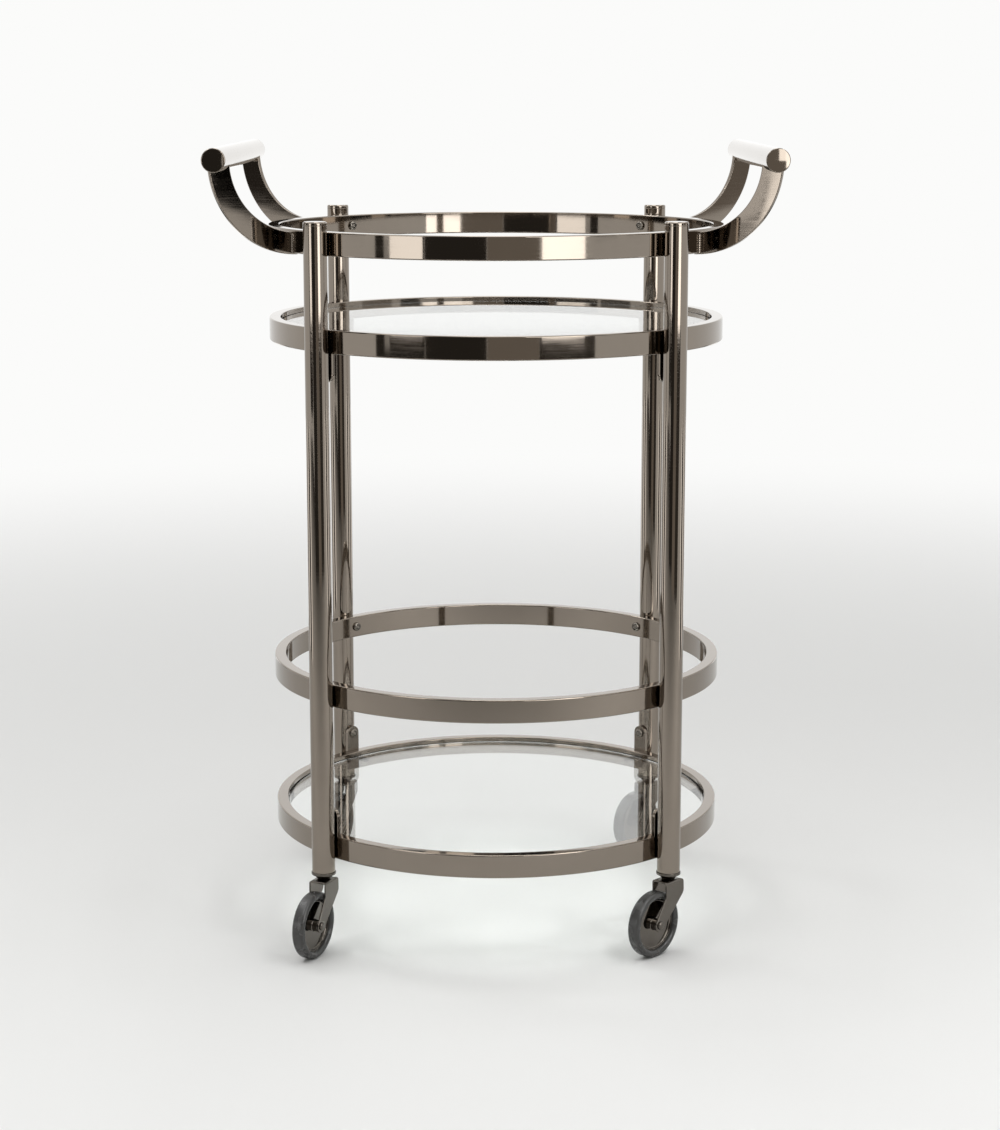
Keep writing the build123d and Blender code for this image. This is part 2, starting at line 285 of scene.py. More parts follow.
@dataclass(frozen=True)
class MouldedFinish:
    """Moulded plastic or rubber: a skin with fine grain and slight clouding.

    Real moulded grain is about a tenth of a millimetre. It is drawn coarser here, at grain_size,
    because a picture can't hold it.
    """

    slot: Slot
    colour: str
    cloud: str
    roughness: float
    worn_roughness: float
    ior: float
    cloud_size: float
    grain_size: float
    grain_depth: float

    def material(self) -> Material:
        """Build the moulded material.

        Returns:
            The material.
        """
        material, tree = new_material(self.slot.value)
        place = add_node(tree, "TexCoord").outputs["Object"]
        patches = {"Vector": place, "Scale": per_mm(self.cloud_size), "Detail": 5.0}
        cloud = add_node(tree, "TexNoise", patches).outputs["Fac"]
        tint = {"Factor": cloud, "A": linear(self.colour), "B": linear(self.cloud)}
        gloss = (cloud, *CLOUD_SPAN, self.roughness, self.worn_roughness)
        grains = {"Vector": place, "Scale": per_mm(self.grain_size), "Detail": 2.0}
        grain = add_node(tree, "TexNoise", grains).outputs["Fac"]
        relief = {"Height": grain, "Strength": 1.0, "Distance": self.grain_depth * MM}
        look = {
            "Base Color": add_node(tree, "Mix", tint, data_type="RGBA").outputs["Result"],
            "Roughness": add_node(tree, "MapRange", gloss).outputs["Result"],
            "IOR": self.ior,
            "Normal": add_node(tree, "Bump", relief).outputs["Normal"],
        }
        shader = add_node(tree, "BsdfPrincipled", look)
        add_node(tree, "OutputMaterial", {"Surface": shader.outputs["BSDF"]})
        return material


# Nickel plate, buffed: a warm mirror, a little smoky, with soft haze where it was handled.
NICKEL = MetalFinish(Slot.NICKEL, "#8E857B", "#857C72", 0.035, 0.10, 70.0, 60.0, 1.2, 45.0, 0.010)
# Dark chrome plate over pressed steel: a smoky neutral mirror with a shallow ripple from the press.
CHROME = MetalFinish(Slot.CHROME, "#6F6A64", "#635E58", 0.05, 0.12, 18.0, 14.0, 0.8, 14.0, 0.008)
# Zinc plate on turned steel: greyer and softer, with the lathe's fine rings.
ZINC = MetalFinish(Slot.ZINC, "#66615B", "#55514B", 0.16, 0.28, 9.0, 20.0, 0.5, 10.0, 0.006)
# Nickel on cold-headed steel, dulled by its drawn oil: a dark grey gloss.
SCREW = MetalFinish(Slot.SCREW, "#8C867E", "#6E6962", 0.14, 0.26, 4.0, 5.0, 0.4, 4.0, 0.004)
# Low-iron float glass: clear and nearly neutral, with a trace of wiping film.
GLASS = GlassFinish(Slot.GLASS, "#FBFDFC", 1.52, 0.0, 0.02, 90.0)
# Clear silicone rubber: see-through but soft and cloudy.
SILICONE = GlassFinish(Slot.SILICONE, "#EDEFEE", 1.41, 0.18, 0.3, 6.0)
# Cast polyamide: off-white and waxy.
NYLON = MouldedFinish(Slot.NYLON, "#DAD6CA", "#CCC7B9", 0.4, 0.5, 1.53, 8.0, 0.6, 0.01)
# Thermoplastic rubber: dark grey with a half gloss, faintly scuffed.
RUBBER = MouldedFinish(Slot.RUBBER, "#333332", "#3A3938", 0.22, 0.30, 1.51, 14.0, 0.7, 0.008)
FINISHES = (NICKEL, CHROME, ZINC, SCREW, GLASS, SILICONE, NYLON, RUBBER)


# Mesh building
@dataclass(frozen=True)
class Point:
    """Corner of an outline: distance from the axis, height and corner radius, in millimetres."""

    out: float
    up: float
    round: float = 0.0


def oblong(inner: float, outer: float, foot: float, top: float, rounds: Iterable[float]) -> list[Point]:
    """Rectangle in millimetres, its radii at lower inner, lower outer, upper outer and upper inner corner."""
    corners = ((inner, foot), (outer, foot), (outer, top), (inner, top))
    return [Point(out, up, radius) for (out, up), radius in zip(corners, rounds)]


def hex_radius(flats: float) -> float:
    """Radius of a hexagon's corners in metres, from its width across flats in millimetres."""
    return flats / math.sqrt(3) * MM


def only(kind: type, geom: Iterable[Any]) -> list[Any]:
    """Pick one kind, such as the points, out of what an operator gives back."""
    return [g for g in geom if isinstance(g, kind)]


def round_corner(bm: Mesh, vert: bmesh.types.BMVert, radius: float, steps: int) -> None:
    """Round one corner of a flat face to a radius in millimetres, in this many segments."""
    size = {"offset": radius * MM, "offset_type": "OFFSET", "segments": steps}
    bmesh.ops.bevel(bm, geom=[vert], affect="VERTICES", profile=0.5, material=-1, **size)


def flat_outline(points: Iterable[Point], steps: int = 4) -> Mesh:
    """Draw a closed outline as one face in the XZ plane.

    Args:
        points: corners in order.
        steps: segments of each rounded corner.

    Returns:
        Mesh with the face.
    """
    bm = bmesh.new()
    corners = list(points)
    verts = [bm.verts.new((p.out * MM, 0.0, p.up * MM)) for p in corners]
    bm.faces.new(verts)
    for vert, point in zip(verts, corners):
        if point.round:
            round_corner(bm, vert, point.round, steps)
    return bm


def close_up(bm: Mesh) -> Mesh:
    """Merge doubled points and turn all faces outwards.

    Args:
        bm: mesh to clean.

    Returns:
        The same mesh.
    """
    bmesh.ops.remove_doubles(bm, verts=bm.verts[:], dist=SAME_POINT)
    bmesh.ops.dissolve_degenerate(bm, edges=bm.edges[:], dist=SAME_POINT)
    bmesh.ops.recalc_face_normals(bm, faces=bm.faces[:])
    return bm


def turned(points: Iterable[Point], turns: int, steps: int = 4) -> Mesh:
    """Turn an outline round the Z axis.

    Args:
        points: outline, in order, with any edge on the axis left open.
        turns: segments of the full turn.
        steps: segments of each rounded corner.

    Returns:
        Closed mesh.
    """
    bm = flat_outline(points, steps)
    bmesh.ops.delete(bm, geom=bm.faces[:], context="FACES_ONLY")
    on_axis = [e for e in bm.edges if all(abs(v.co.x) < SAME_POINT for v in e.verts)]
    for edge in on_axis:
        bm.edges.remove(edge)
    around_z = {"cent": (0.0, 0.0, 0.0), "axis": (0.0, 0.0, 1.0), "angle": FULL_TURN, "use_merge": True}
    bmesh.ops.spin(bm, geom=bm.verts[:] + bm.edges[:], steps=turns, **around_z)
    return close_up(bm)


def pulled(bm: Mesh, travel: Vector) -> Mesh:
    """Extrude a flat outline into a closed plate.

    Args:
        bm: mesh with one face.
        travel: direction and thickness in metres.

    Returns:
        The same mesh.
    """
    made = bmesh.ops.extrude_face_region(bm, geom=bm.faces[:], use_keep_orig=True)
    bmesh.ops.translate(bm, verts=only(bmesh.types.BMVert, made["geom"]), vec=travel)
    return close_up(bm)


def soften(bm: Mesh, radius: float, steps: int = 2, angle: float = 35.0) -> Mesh:
    """Round every sharp edge a little.

    Args:
        bm: closed mesh.
        radius: width of the rounding in millimetres.
        steps: segments of the rounding.
        angle: least angle of a sharp edge, in degrees.

    Returns:
        The same mesh.
    """
    limit = math.radians(angle)
    sharp = [e for e in bm.edges if e.is_manifold and e.calc_face_angle() > limit]
    size = {"offset": radius * MM, "offset_type": "OFFSET", "segments": steps, "clamp_overlap": True}
    bmesh.ops.bevel(bm, geom=sharp, affect="EDGES", profile=0.5, material=-1, **size)
    return bm


def placed(bm: Mesh, matrix: Matrix) -> Mesh:
    """Move a mesh to its place in the frame, in metres, and give it back."""
    bmesh.ops.transform(bm, matrix=matrix, verts=bm.verts[:])
    return bm


def joined(parts: Iterable[Mesh]) -> Mesh:
    """Gather several meshes into one.

    Args:
        parts: meshes, which are freed.

    Returns:
        One mesh with all of them.
    """
    whole = bmesh.new()
    for part in parts:
        carrier = bpy.data.meshes.new("carrier")
        part.to_mesh(carrier)
        part.free()
        whole.from_mesh(carrier)
        bpy.data.meshes.remove(carrier)
    return whole


def round_the_cart(angle: float, radius: float = 0.0, height: float = 0.0) -> Matrix:
    """Place with local X pointing outwards at an angle round the cart, in metres."""
    return Matrix.Rotation(angle, 4, "Z") @ Matrix.Translation((radius, 0.0, height))


def new_object(bm: Mesh, name: str, material: Material) -> bpy.types.Object:
    """Make an object of a mesh.

    Args:
        bm: mesh in its place, which is freed.
        name: name of the object.
        material: its material.

    Returns:
        The object, linked to the scene.
    """
    mesh = bpy.data.meshes.new(name)
    bm.to_mesh(mesh)
    bm.free()
    mesh.materials.append(material)
    made = bpy.data.objects.new(name, mesh)
    bpy.context.scene.collection.objects.link(made)
    return made


class Workshop:
    """Turns finished meshes into pieces and gives every piece and node its finish."""

    def __init__(self) -> None:
        """Build the materials."""
        self.materials = {finish.slot: finish.material() for finish in FINISHES}

    def add(self, bm: Mesh, name: str, slot: Slot, body: str, *nodes: str) -> None:
        """Make a piece of the cart.

        Args:
            bm: mesh of the piece in the frame, which is freed.
            name: name of the piece.
            slot: finish of the piece.
            body: body that it rides on.
            *nodes: nodes that it stands for.
        """
        piece = new_object(bm, name, self.materials[slot])
        piece.data.shade_smooth()
        flatten = piece.modifiers.new("even_normals", "WEIGHTED_NORMAL")
        flatten.mode = "FACE_AREA"
        flatten.weight = 50
        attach(piece, body)
        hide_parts(*nodes)
        LOG.info("%s: %d faces on %s", name, len(piece.data.polygons), body)

    def dress(self, node: str, slot: Slot) -> None:
        """Give a node that keeps its own shape its finish.

        Args:
            node: name of the node.
            slot: finish of the node.
        """
        shape = frame["nodes"][node]
        shape.data.materials.clear()
        shape.data.materials.append(self.materials[slot])
        LOG.info("%s keeps its shape", node)


# The cart
@dataclass
class Hoop:
    """Ring of rolled rectangular tube."""

    shop: Workshop
    node: str
    depth: float = 12.7
    edge: float = 1.4
    edge_steps: int = 5
    turns: int = 256

    def build(self) -> None:
        """Model the ring."""
        low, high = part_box(self.node)
        radius = min(high.x, high.y) / MM
        section = oblong(radius - self.depth, radius, low.z / MM, high.z / MM, [self.edge] * 4)
        band = turned(section, self.turns, self.edge_steps)
        self.shop.add(band, f"{self.node}_band", Slot.NICKEL, FRAME_BODY, self.node)


@dataclass
class Shelf:
    """Glass pane in its ring, with the tabs that carry the ring on the posts."""

    shop: Workshop
    name: str
    tabs_up: bool
    arris: float = 0.6
    arris_steps: int = 3
    tab_width: float = 18.0
    tab_thickness: float = 4.0
    tab_edge: float = 0.7
    tab_steps: int = 10
    turns: int = 256

    def build(self) -> None:
        """Model the glass and the tabs, and dress what is under the glass."""
        self.pane()
        self.tabs()
        self.shop.dress(f"{self.name}_shelf_lugs", Slot.NICKEL)
        self.shop.dress(f"{self.name}_shelf_pads", Slot.SILICONE)

    def pane(self) -> None:
        """Model the round pane with its ground edges."""
        node = f"{self.name}_glass"
        low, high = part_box(node)
        rounds = (0.0, self.arris, self.arris, 0.0)
        section = oblong(0.0, high.x / MM, low.z / MM, high.z / MM, rounds)
        glass = turned(section, self.turns, self.arris_steps)
        self.shop.add(glass, f"{self.name}_pane", Slot.GLASS, FRAME_BODY, node)

    def tabs(self) -> None:
        """Model the four upright plates with a round end."""
        node = f"{self.name}_shelf_tabs"
        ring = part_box(f"{self.name}_shelf_ring")[1].x
        low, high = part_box(node)
        half = self.tab_width / 2
        full = half - SHORT_OF_FULL
        foot, end = (low.z, high.z) if self.tabs_up else (high.z, low.z)
        outline = oblong(-half, half, foot / MM, end / MM, (0.0, 0.0, full, full))
        plates = []
        for corner in Corner:
            travel = Vector((0.0, self.tab_thickness * MM, 0.0))
            plate = soften(pulled(flat_outline(outline, self.tab_steps), travel), self.tab_edge)
            turn = Matrix.Rotation(QUARTER_TURN, 4, "Z")
            plates.append(placed(plate, round_the_cart(corner.angle, ring) @ turn))
        self.shop.add(joined(plates), f"{self.name}_tabs", Slot.NICKEL, FRAME_BODY, node)


@dataclass
class ScrewSet:
    """Four button-head socket screws, one at each post."""

    shop: Workshop
    node: str
    head_diameter: float = 10.5
    head_height: float = 3.3
    head_round: float = 2.2
    head_edge: float = 0.3
    hex_flats: float = 4.0
    hex_depth: float = 2.0
    shank_diameter: float = 6.0
    tip_edge: float = 0.6
    turns: int = 48

    def build(self) -> None:
        """Model the screws, their heads towards the middle of the cart."""
        low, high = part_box(self.node)
        height = (low.z + high.z) / 2
        tip = high.x * DIAGONAL - self.shank_diameter / 2 * MM
        heads = frame["nodes"][self.node].data.vertices
        crown = min(math.hypot(v.co.x, v.co.y) for v in heads)
        lay = Matrix.Rotation(-QUARTER_TURN, 4, "Y")
        screws = [
            placed(self.screw(tip - crown), round_the_cart(corner.angle, crown, height) @ lay)
            for corner in Corner
        ]
        self.shop.add(joined(screws), f"{self.node}_set", Slot.SCREW, FRAME_BODY, self.node)

    def screw(self, length: float) -> Mesh:
        """Model one screw, the top of its head at the origin and its shank down the Z axis.

        Args:
            length: overall length in metres.

        Returns:
            Closed mesh.
        """
        head, shank = self.head_diameter / 2, self.shank_diameter / 2
        section = [
            Point(head - self.head_round, 0.0),
            Point(head, 0.0, self.head_round - SHORT_OF_FULL),
            Point(head, -self.head_height, self.head_edge),
            Point(shank, -self.head_height),
            Point(shank, -length / MM, self.tip_edge),
            Point(0.0, -length / MM),
        ]
        body = turned(section, self.turns)
        rim = [e for e in body.edges if e.is_boundary]
        key = hex_radius(self.hex_flats)
        socket = bmesh.ops.create_circle(body, cap_ends=True, segments=HEX_SIDES, radius=key)
        floor = list({f for v in socket["verts"] for f in v.link_faces})
        walls = bmesh.ops.extrude_face_region(body, geom=floor)
        sunk = only(bmesh.types.BMVert, walls["geom"])
        bmesh.ops.translate(body, verts=sunk, vec=(0.0, 0.0, -self.hex_depth * MM))
        mouth = [e for e in body.edges if e.is_boundary and e not in rim]
        bmesh.ops.bridge_loops(body, edges=rim + mouth)
        return close_up(body)


@dataclass
class Posts:
    """Four round tubes with plug caps."""

    shop: Workshop
    foot_edge: float = 0.5
    cap_edge: float = 2.0
    cap_steps: int = 6
    seam: float = 0.35
    turns: int = 96

    def build(self) -> None:
        """Model the posts and caps, and dress the bushes in them."""
        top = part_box("post_caps")[1].z / MM
        caps = []
        for corner in Corner:
            node = f"{corner.label}_post"
            low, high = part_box(node)
            middle = (low + high) / 2
            radius, seat = (high.x - low.x) / 2 / MM, high.z / MM
            stand = Matrix.Translation((middle.x, middle.y, 0.0))
            tube = oblong(0.0, radius, low.z / MM, seat, (0.0, self.foot_edge, self.seam, 0.0))
            post = placed(turned(tube, self.turns), stand)
            self.shop.add(post, f"{corner.label}_post_tube", Slot.NICKEL, FRAME_BODY, node)
            cap = oblong(0.0, radius, seat, top, (0.0, self.seam, self.cap_edge, 0.0))
            caps.append(placed(turned(cap, self.turns, self.cap_steps), stand))
        self.shop.add(joined(caps), "post_cap_set", Slot.NICKEL, FRAME_BODY, "post_caps")
        self.shop.dress("post_bushes", Slot.ZINC)


@dataclass
class Handle:
    """Round bar on two flat arms bent on edge."""

    shop: Workshop
    side: Side
    bar_edge: float = 0.3
    arm_width: float = 24.0
    arm_thickness: float = 5.0
    arm_edge: float = 0.9
    edge_steps: int = 3
    bend_radius: float = 90.0
    bend_inset: float = 5.5
    bend_steps: int = 48
    weld_radius: float = 2.8
    weld_ripple: float = 0.35
    weld_ripples: int = 9
    weld_round: float = 0.125
    weld_turns: int = 24
    turns: int = 96

    def build(self) -> None:
        """Model the bar and both arms."""
        node = f"{self.side.label}_handle_bar"
        low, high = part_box(node)
        middle, half = (low + high) / 2, (high - low) / 2
        across = Matrix.Translation(middle) @ Matrix.Rotation(QUARTER_TURN, 4, "X")
        length, radius = half.y / MM, min(half.x, half.z) / MM
        section = oblong(0.0, radius, -length, length, (0.0, self.bar_edge, self.bar_edge, 0.0))
        bar = placed(turned(section, self.turns), across)
        self.shop.add(bar, f"{self.side.label}_bar", Slot.NICKEL, FRAME_BODY, node)
        for label, sign in (("front", -1), ("rear", 1)):
            self.arm(label, sign, middle)

    def arm(self, label: str, sign: int, bar: Vector) -> None:
        """Model one arm, from inside the rail to inside the bar.

        Args:
            label: front or rear.
            sign: side of the arm along Y.
            bar: middle of the bar in metres.
        """
        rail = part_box("top_rail")[1].x / MM
        centre = rail - self.bend_inset
        lean = math.acos(abs(bar.x) / MM / (centre + self.bend_radius))
        half, thick = self.arm_width / 2, self.arm_thickness / 2
        bm = flat_outline(oblong(-thick, thick, -half, half, [self.arm_edge] * 4), self.edge_steps)
        foot = Vector((centre * MM, 0.0, bar.z - self.bend_radius * MM))
        placed(bm, Matrix.Translation(foot) @ Matrix.Rotation(QUARTER_TURN, 4, "Z"))
        bmesh.ops.delete(bm, geom=bm.faces[:], context="FACES_ONLY")
        bend = {"cent": (centre * MM, 0.0, bar.z), "axis": (0.0, -1.0, 0.0), "angle": QUARTER_TURN}
        bmesh.ops.spin(bm, geom=bm.verts[:] + bm.edges[:], steps=self.bend_steps, **bend)
        bmesh.ops.holes_fill(bm, edges=[e for e in bm.edges if e.is_boundary])
        close_up(bm)
        seam = [
            placed(self.weld(), Matrix.Translation((rail * MM, face * thick * MM, foot.z)))
            for face in (-1, 1)
        ]
        angle = sign * lean if self.side is Side.RIGHT else math.pi - sign * lean
        name = f"{self.side.label}_{label}_arm"
        whole = placed(joined([bm, *seam]), round_the_cart(angle))
        self.shop.add(whole, f"{name}_flat", Slot.NICKEL, FRAME_BODY, name)

    def weld(self) -> Mesh:
        """Model the rippled bead along one side of an arm's foot.

        Returns:
            Closed mesh, upright on the Z axis.
        """
        end = self.arm_width / 2 - self.arm_edge
        step = 2 * end / self.weld_ripples
        heights = [-end + step * i / 2 for i in range(1, 2 * self.weld_ripples)]
        sizes = [self.weld_radius - self.weld_ripple * (i % 2) for i in range(len(heights))]
        rings = [Point(size, height, step * self.weld_round) for size, height in zip(sizes, heights)]
        return turned([Point(0.0, -end), *rings, Point(0.0, end)], self.weld_turns, self.edge_steps)


@dataclass
class BarCaps:
    """Slightly domed caps in the four ends of the handle bars."""

    shop: Workshop
    thickness: float = 3.0
    edge: float = 1.0
    edge_steps: int = 6
    dome: float = 0.7
    dome_steps: int = 8
    seam: float = 0.3
    turns: int = 96

    def build(self) -> None:
        """Model the caps."""
        caps = []
        for side in Side:
            low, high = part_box(f"{side.label}_handle_bar")
            middle, half = (low + high) / 2, (high - low) / 2
            radius = min(half.x, half.z) / MM
            fall = [i / self.dome_steps for i in range(self.dome_steps - 1, -1, -1)]
            section = [
                Point(0.0, 0.0),
                Point(radius, 0.0, self.seam),
                Point(radius, self.thickness - self.dome, self.edge),
                *(Point(radius * part, self.thickness - self.dome * part**2) for part in fall),
            ]
            for end in (-1, 1):
                place = Matrix.Translation((middle.x, middle.y + end * half.y, middle.z))
                turn = Matrix.Rotation(-end * QUARTER_TURN, 4, "X")
                caps.append(placed(turned(section, self.turns, self.edge_steps), place @ turn))
        self.shop.add(joined(caps), "bar_cap_set", Slot.NICKEL, FRAME_BODY, "handle_end_caps")


@dataclass
class Caster:
    """Swivel caster: pressed fork, axle bolt and nut, hub and tyre.

    The pieces are made with the stem on the Z axis and the wheel trailing along +X.
    """

    shop: Workshop
    corner: Corner
    plate: float = 2.0
    plate_edge: float = 0.7
    fork_width: float = 21.0
    fork_bend: float = 3.0
    bend_steps: int = 5
    crown_length: float = 30.0
    crown_corner: float = 5.0
    skirt_depth: float = 16.0
    leg_end: float = 7.5
    leg_steps: int = 24
    leg_blend: float = 3.0
    blend_steps: int = 4
    tyre_width: float = 15.0
    tyre_depth: float = 8.0
    rim_wall: float = 1.5
    rim_edge: float = 0.4
    hub_web: float = 2.5
    web_blend: float = 1.7
    boss_diameter: float = 13.0
    boss_edge: float = 0.8
    boss_blend: float = 1.0
    boss_gap: float = 0.3
    bush_diameter: float = 10.0
    bush_edge: float = 0.3
    axle_diameter: float = 6.0
    axle_edge: float = 0.5
    head_diameter: float = 9.0
    head_height: float = 2.4
    head_round: float = 1.8
    nut_flats: float = 10.0
    nut_height: float = 5.0
    nut_edge: float = 0.4
    round_steps: int = 6
    turns: int = 96

    def build(self) -> None:
        """Model the caster and dress the pieces inside it."""
        name = self.corner.label
        joints = {joint["name"]: joint for joint in frame["joints"]}
        stem = Vector(joints[f"{name}_swivel"]["pos_m"])
        axle = Vector(joints[f"{name}_roll"]["pos_m"])
        ahead = axle - stem
        stand = Matrix.Translation((stem.x, stem.y, 0.0))
        place = stand @ Matrix.Rotation(math.atan2(ahead.y, ahead.x), 4, "Z")
        trail = math.hypot(ahead.x, ahead.y)
        on_axle = place @ Matrix.Translation((trail, 0.0, axle.z)) @ Matrix.Rotation(-QUARTER_TURN, 4, "X")
        swivel, wheel = f"{name}_caster", f"{name}_wheel"
        crown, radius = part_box(f"{name}_fork")[1].z / MM, axle.z / MM
        fork = placed(self.fork(trail / MM, radius, crown), place)
        self.shop.add(fork, f"{name}_fork_plate", Slot.CHROME, swivel, f"{name}_fork")
        for part, outline, slot, body in (
            ("axle_bolt", self.bolt(), Slot.CHROME, swivel),
            ("hub", self.hub(radius), Slot.CHROME, wheel),
            ("tyre", self.tyre(radius), Slot.RUBBER, wheel),
        ):
            mesh = placed(turned(outline, self.turns, self.round_steps), on_axle)
            self.shop.add(mesh, f"{name}_{part}_turned", slot, body, f"{name}_{part}")
        self.shop.add(placed(self.nut(), on_axle), f"{name}_nut", Slot.CHROME, swivel, f"{name}_axle_nut")
        self.shop.dress(f"{name}_stem", Slot.ZINC)
        self.shop.dress(f"{name}_hub_bush", Slot.NYLON)

    def fork(self, trail: float, axle: float, crown: float) -> Mesh:
        """Model the fork: one leg, bent over into the crown, mirrored and given its thickness.

        Args:
            trail: axle ahead of the stem, in millimetres.
            axle: height of the axle.
            crown: height of the crown's top.

        Returns:
            Closed mesh.
        """
        half, side = self.crown_length / 2, self.fork_width / 2
        bend_foot, skirt_foot = crown - self.fork_bend, crown - self.skirt_depth
        end = Vector((trail, axle))
        front, back = Vector((half, skirt_foot)), Vector((-half, skirt_foot))
        leave = self.touch(front, end, 1)
        arrive = self.touch(back, end, -1)
        sweep = (leave - end).angle_signed(arrive - end) % FULL_TURN
        bm = bmesh.new()
        route = [Vector((-half, bend_foot)), Vector((half, bend_foot)), front, leave]
        verts = [bm.verts.new((p.x * MM, side * MM, p.y * MM)) for p in route]
        top, *_ = [bm.edges.new(verts[i : i + 2]) for i in range(3)]
        about = {"cent": (end.x * MM, 0.0, end.y * MM), "axis": (0.0, 1.0, 0.0), "angle": sweep}
        arc = bmesh.ops.spin(bm, geom=[verts[3]], steps=self.leg_steps, **about)
        last = only(bmesh.types.BMVert, arc["geom_last"])[0]
        heel = bm.verts.new((back.x * MM, side * MM, back.y * MM))
        bm.edges.new((last, heel))
        bm.edges.new((heel, verts[0]))
        bmesh.ops.contextual_create(bm, geom=bm.edges[:])
        for corner in (verts[2], heel):
            round_corner(bm, corner, self.leg_blend, self.blend_steps)
        self.fold_crown(bm, top, bend_foot, crown)
        bmesh.ops.mirror(bm, geom=bm.verts[:] + bm.edges[:] + bm.faces[:], axis="Y", merge_dist=SAME_POINT)
        close_up(bm)
        bmesh.ops.solidify(bm, geom=bm.faces[:], thickness=self.plate * MM)
        close_up(bm)
        return soften(bm, self.plate_edge)

    def fold_crown(self, bm: Mesh, top: bmesh.types.BMEdge, foot: float, crown: float) -> None:
        """Bend the leg's top edge over and draw it to the middle, with a round rear corner.

        Args:
            bm: mesh of one leg.
            top: straight edge at the top of the leg.
            foot: height where the bend starts, in millimetres.
            crown: height of the crown's top.
        """
        reach = (self.fork_width / 2 - self.fork_bend) * MM
        about = {"cent": (0.0, reach, foot * MM), "axis": (1.0, 0.0, 0.0), "angle": QUARTER_TURN}
        bent = bmesh.ops.spin(bm, geom=[top, *top.verts], steps=self.bend_steps, **about)
        edge = only(bmesh.types.BMEdge, bent["geom_last"])
        drawn = bmesh.ops.extrude_edge_only(bm, edges=edge)
        middle = only(bmesh.types.BMVert, drawn["geom"])
        bmesh.ops.translate(bm, verts=middle, vec=(0.0, -reach, 0.0))
        rear, corner = -self.crown_length / 2 * MM, self.crown_corner * MM
        for vert in bm.verts:
            rise = vert.co.z - (crown - self.crown_corner) * MM
            if rise > 0 and abs(vert.co.x - rear) < SAME_POINT:
                vert.co.x = rear + corner - math.sqrt(max(corner**2 - rise**2, 0.0))

    def touch(self, start: Vector, centre: Vector, way: int) -> Vector:
        """Point where a line from a corner touches the round end of the leg.

        Args:
            start: corner in the side view, in millimetres.
            centre: centre of the round end.
            way: 1 for the front line, -1 for the rear one.

        Returns:
            The point.
        """
        back = start - centre
        turn = way * math.acos(self.leg_end / back.length)
        return centre + Matrix.Rotation(-turn, 2) @ back.normalized() * self.leg_end

    def bolt(self) -> list[Point]:
        """Outline of the bolt, its round head on the +Y side.

        Returns:
            Corners of the outline.
        """
        half, shank, head = self.fork_width / 2, self.axle_diameter / 2, self.head_diameter / 2
        return [
            Point(0.0, -half - self.nut_height),
            Point(shank, -half - self.nut_height, self.axle_edge),
            Point(shank, half),
            Point(head, half),
            Point(head, half + self.head_height, self.head_round),
            Point(0.0, half + self.head_height),
        ]

    def hub(self, radius: float) -> list[Point]:
        """Outline of the hub: rim, thin web and boss.

        Args:
            radius: radius of the wheel in millimetres.

        Returns:
            Corners of the outline.
        """
        rim = radius - self.tyre_depth
        inner = rim - self.rim_wall
        half_rim = (self.tyre_width - self.tyre_depth) / 2
        half_web = self.hub_web / 2
        half_boss = self.fork_width / 2 - self.plate - self.boss_gap
        bore, boss = self.bush_diameter / 2, self.boss_diameter / 2
        lower = [
            Point(bore, -half_boss, self.bush_edge),
            Point(boss, -half_boss, self.boss_edge),
            Point(boss, -half_web, self.boss_blend),
            Point(inner, -half_web, self.web_blend),
            Point(inner, -half_rim, self.rim_edge),
            Point(rim, -half_rim, self.rim_edge),
        ]
        return lower + [Point(p.out, -p.up, p.round) for p in reversed(lower)]

    def tyre(self, radius: float) -> list[Point]:
        """Outline of the tyre with its round sides, from the wheel's radius in millimetres."""
        half, curve = self.tyre_width / 2, self.tyre_depth / 2 - SHORT_OF_FULL
        return oblong(radius - self.tyre_depth, radius, -half, half, [curve] * 4)

    def nut(self) -> Mesh:
        """Model the hexagon nut on the -Y end of the bolt.

        Returns:
            Closed mesh.
        """
        bm = bmesh.new()
        bmesh.ops.create_circle(bm, cap_ends=True, segments=HEX_SIDES, radius=hex_radius(self.nut_flats))
        pulled(bm, Vector((0.0, 0.0, -self.nut_height * MM)))
        soften(bm, self.nut_edge)
        return placed(bm, Matrix.Translation((0.0, 0.0, -self.fork_width / 2 * MM)))


# The studio
def lay_sheet(name: str, corners: Iterable[Iterable[float]], material: Material) -> None:
    """Put up a flat sheet that shows in the metal alone, and neither shows elsewhere nor shades.

    Args:
        name: name of the sheet.
        corners: its corners in order, in metres.
        material: its material.
    """
    bm = bmesh.new()
    bmesh.ops.contextual_create(bm, geom=[bm.verts.new(corner) for corner in corners])
    item = new_object(bm, name, material)
    item.visible_camera = item.visible_transmission = False
    item.visible_diffuse = item.visible_shadow = False


def around(bearing: float, distance: float, height: float, aside: float = 0.0) -> Vector:
    """Place in the studio, in metres, at an angle in degrees to the right of the camera."""
    return Matrix.Rotation(math.radians(bearing), 3, "Z") @ Vector((aside, -distance, height))


def seen_ray(tree: Tree) -> Socket:
    """Tell the rays that show a backdrop from those that light the cart.

    Args:
        tree: tree that gets the nodes.

    Returns:
        Output that is 1 for the camera, in the metal and through the glass, and otherwise 0.
    """
    ray = add_node(tree, "LightPath").outputs
    seen = ray["Is Camera Ray"]
    for kind in ("Is Glossy Ray", "Is Transmission Ray"):
        seen = add_node(tree, "Math", (seen, ray[kind]), operation="MAXIMUM").outputs["Value"]
    return seen


